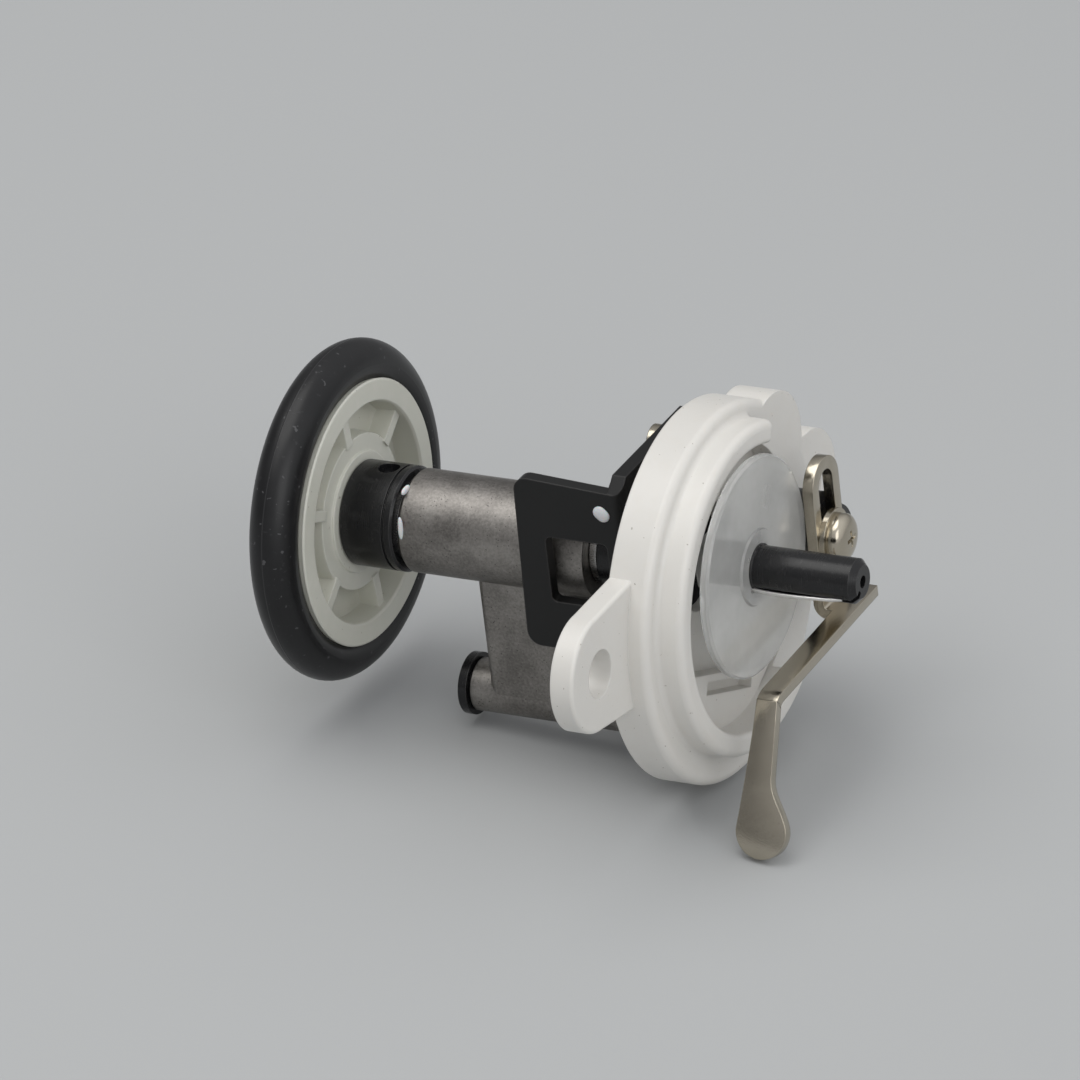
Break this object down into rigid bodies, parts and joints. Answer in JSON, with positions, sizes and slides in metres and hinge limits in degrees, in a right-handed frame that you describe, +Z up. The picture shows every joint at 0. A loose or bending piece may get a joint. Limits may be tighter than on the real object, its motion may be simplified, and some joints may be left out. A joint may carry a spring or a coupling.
{
  "type": "sewing bobbin winder",
  "caption": "Friction-driven bobbin winder: rubber-tyred wheel on a spindle in a swinging arm, with a round base cover and a trip lever.",
  "frame": {"origin": "on the spindle axis, in the middle of the bobbin's seat on its nose", "axes": "+X along the spindle towards the bobbin end, +Z up, away from the swing pivot, +Y towards the trip lever's shaft"},
  "size_m": [0.0807, 0.0786, 0.057],
  "materials": {
    "rubber_black": "satin",
    "plastic_white": "gloss",
    "plastic_clear": "clear, slightly milky",
    "steel_black": "black oxide",
    "steel_painted": "satin black",
    "steel_bright": "bright",
    "sintered_steel": "satin, porous",
    "bronze": "satin",
    "nickel": "polished nickel"
  },
  "bodies": {
    "base": {"base_cover": "plastic_white", "bracket": "steel_painted", "cover_screws": "nickel", "pivot_pin": "steel_bright", "pivot_clip": "steel_black", "lever_bush": "bronze", "stop_stud": "steel_black", "swing_spring": "steel_bright", "lever_spring": "steel_bright"},
    "swing_arm": {"spindle_housing": "sintered_steel", "rear_bush": "bronze", "front_bush": "bronze"},
    "spindle": {"spindle": "steel_black", "drive_collar": "steel_black", "set_screw": "steel_black", "wheel_hub": "plastic_white", "tyre": "rubber_black", "thrust_washer": "steel_bright", "retaining_ring": "steel_bright", "spindle_sleeve": "steel_black", "stop_disc": "plastic_clear", "thread_clip": "steel_bright"},
    "trip_lever": {"lever_shaft": "steel_bright", "shaft_clip": "steel_black", "trip_crank": "steel_black", "crank_pin": "steel_bright", "lever_block": "steel_black", "presser_lever": "nickel", "presser_screw": "nickel", "presser_washer": "nickel"}
  },
  "joints": [
    {"name": "lever_turn", "type": "hinge", "parent": "base", "child": "trip_lever", "pos_m": [-0.0198, 0.022, -0.008], "axis": [-1, 0, 0], "range_deg": [0, 10]},
    {"name": "arm_swing", "type": "hinge", "parent": "base", "child": "swing_arm", "pos_m": [-0.0398, 0, -0.024], "axis": [-1, 0, 0], "range_deg": [0, 3]},
    {"name": "spindle_spin", "type": "hinge", "parent": "swing_arm", "child": "spindle", "pos_m": [-0.0448, 0, 0], "axis": [1, 0, 0], "continuous": true}
  ],
  "couplings": [
    {"joint": "arm_swing", "follows": "lever_turn", "ratio": 0.3}
  ]
}
